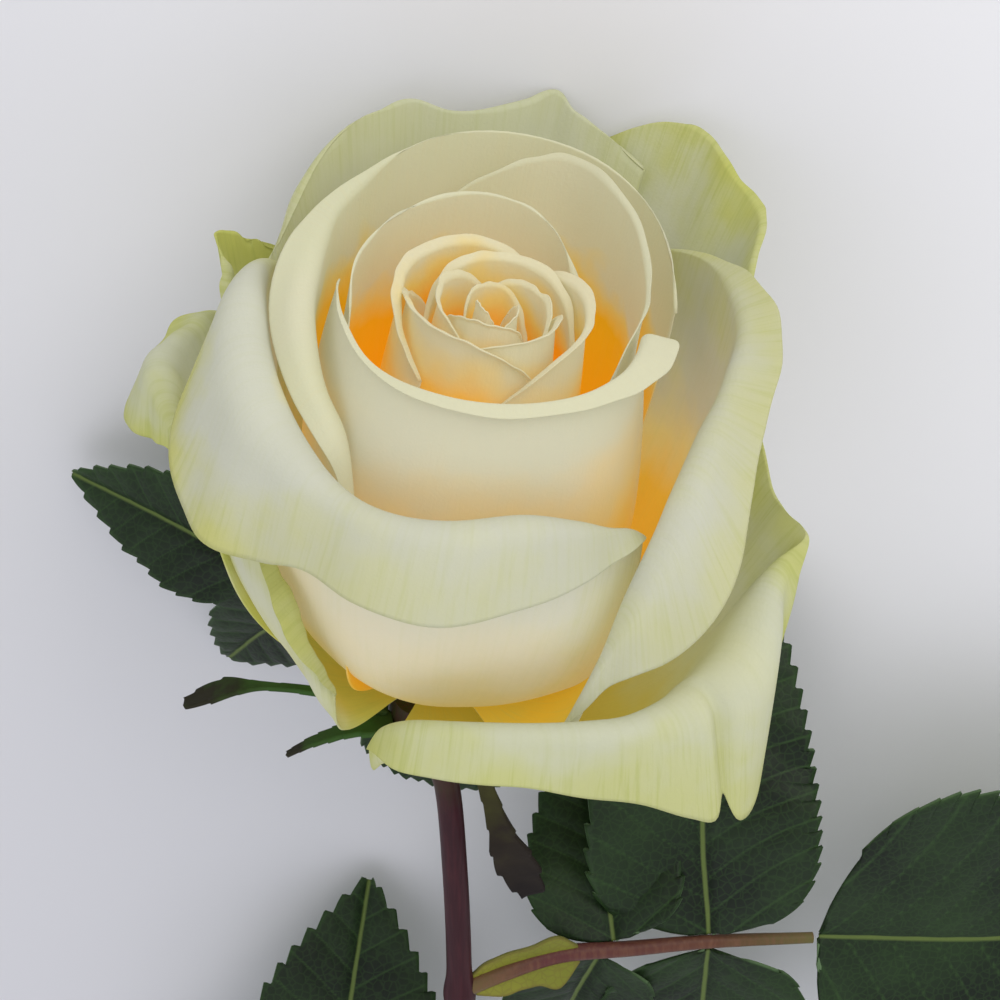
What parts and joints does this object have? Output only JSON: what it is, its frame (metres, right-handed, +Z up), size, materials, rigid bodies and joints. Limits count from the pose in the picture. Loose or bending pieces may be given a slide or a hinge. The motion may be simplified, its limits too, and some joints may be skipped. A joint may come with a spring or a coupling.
{
  "type": "cut rose",
  "caption": "Cut garden rose lying on its side: an opening cream bloom of overlapping rolled petals on a long stem with compound toothed leaves.",
  "frame": {"origin": "bottom centre of the whole flower's box, on the surface that it lies on", "axes": "+Y along the stem towards its cut end, the bloom faces -Y, +Z up from the surface"},
  "size_m": [0.1636, 0.3956, 0.0767],
  "materials": {
    "petal_heart": "matte living petal, warm yellow towards an orange centre",
    "petal_inner": "matte velvety petal, cream with a yellow foot",
    "petal_outer": "matte velvety petal, cream white with a green tinted margin and fine veins",
    "sepal": "matte green, brown at the tips",
    "stem": "smooth and waxy, reddish purple turning green further down",
    "leaf_stalk": "satin, reddish with yellow-green stipules",
    "leaf": "semi-gloss waxy dark green with a paler midrib"
  },
  "bodies": {
    "root": {"stem": "stem", "petal_heart_01": "petal_heart", "petal_heart_02": "petal_heart", "petal_heart_03": "petal_heart", "petal_heart_04": "petal_heart", "petal_heart_05": "petal_heart", "petal_heart_06": "petal_heart", "petal_heart_07": "petal_heart", "petal_heart_08": "petal_heart", "petal_heart_09": "petal_heart", "petal_heart_10": "petal_heart", "petal_heart_11": "petal_heart", "petal_bud_back": "petal_inner", "petal_bud_right": "petal_inner", "petal_bud_front": "petal_inner", "petal_cup_left": "petal_inner", "petal_fold_front": "petal_outer", "petal_fold_right": "petal_outer", "petal_back": "petal_outer", "petal_back_right": "petal_outer", "petal_low_left": "petal_outer", "petal_low_front": "petal_outer", "petal_wing_left_back": "petal_outer", "petal_wing_left": "petal_outer", "sepal_left": "sepal", "sepal_left_front": "sepal", "sepal_withered": "sepal", "sepal_right": "sepal", "sepal_under": "sepal", "leaf_right_stalk": "leaf_stalk", "leaf_left_stalk": "leaf_stalk", "leaf_low_stalk": "leaf_stalk", "leaf_right_tip": "leaf", "leaf_right_upper": "leaf", "leaf_right_lower": "leaf", "leaf_right_foot_upper": "leaf", "leaf_right_foot_lower": "leaf", "leaf_left_tip": "leaf", "leaf_left_upper": "leaf", "leaf_left_lower": "leaf", "leaf_left_foot_upper": "leaf", "leaf_left_foot_lower": "leaf", "leaf_low_tip": "leaf", "leaf_low_left": "leaf", "leaf_low_right": "leaf", "leaf_low_foot_left": "leaf", "leaf_low_foot_right": "leaf"}
  },
  "joints": []
}
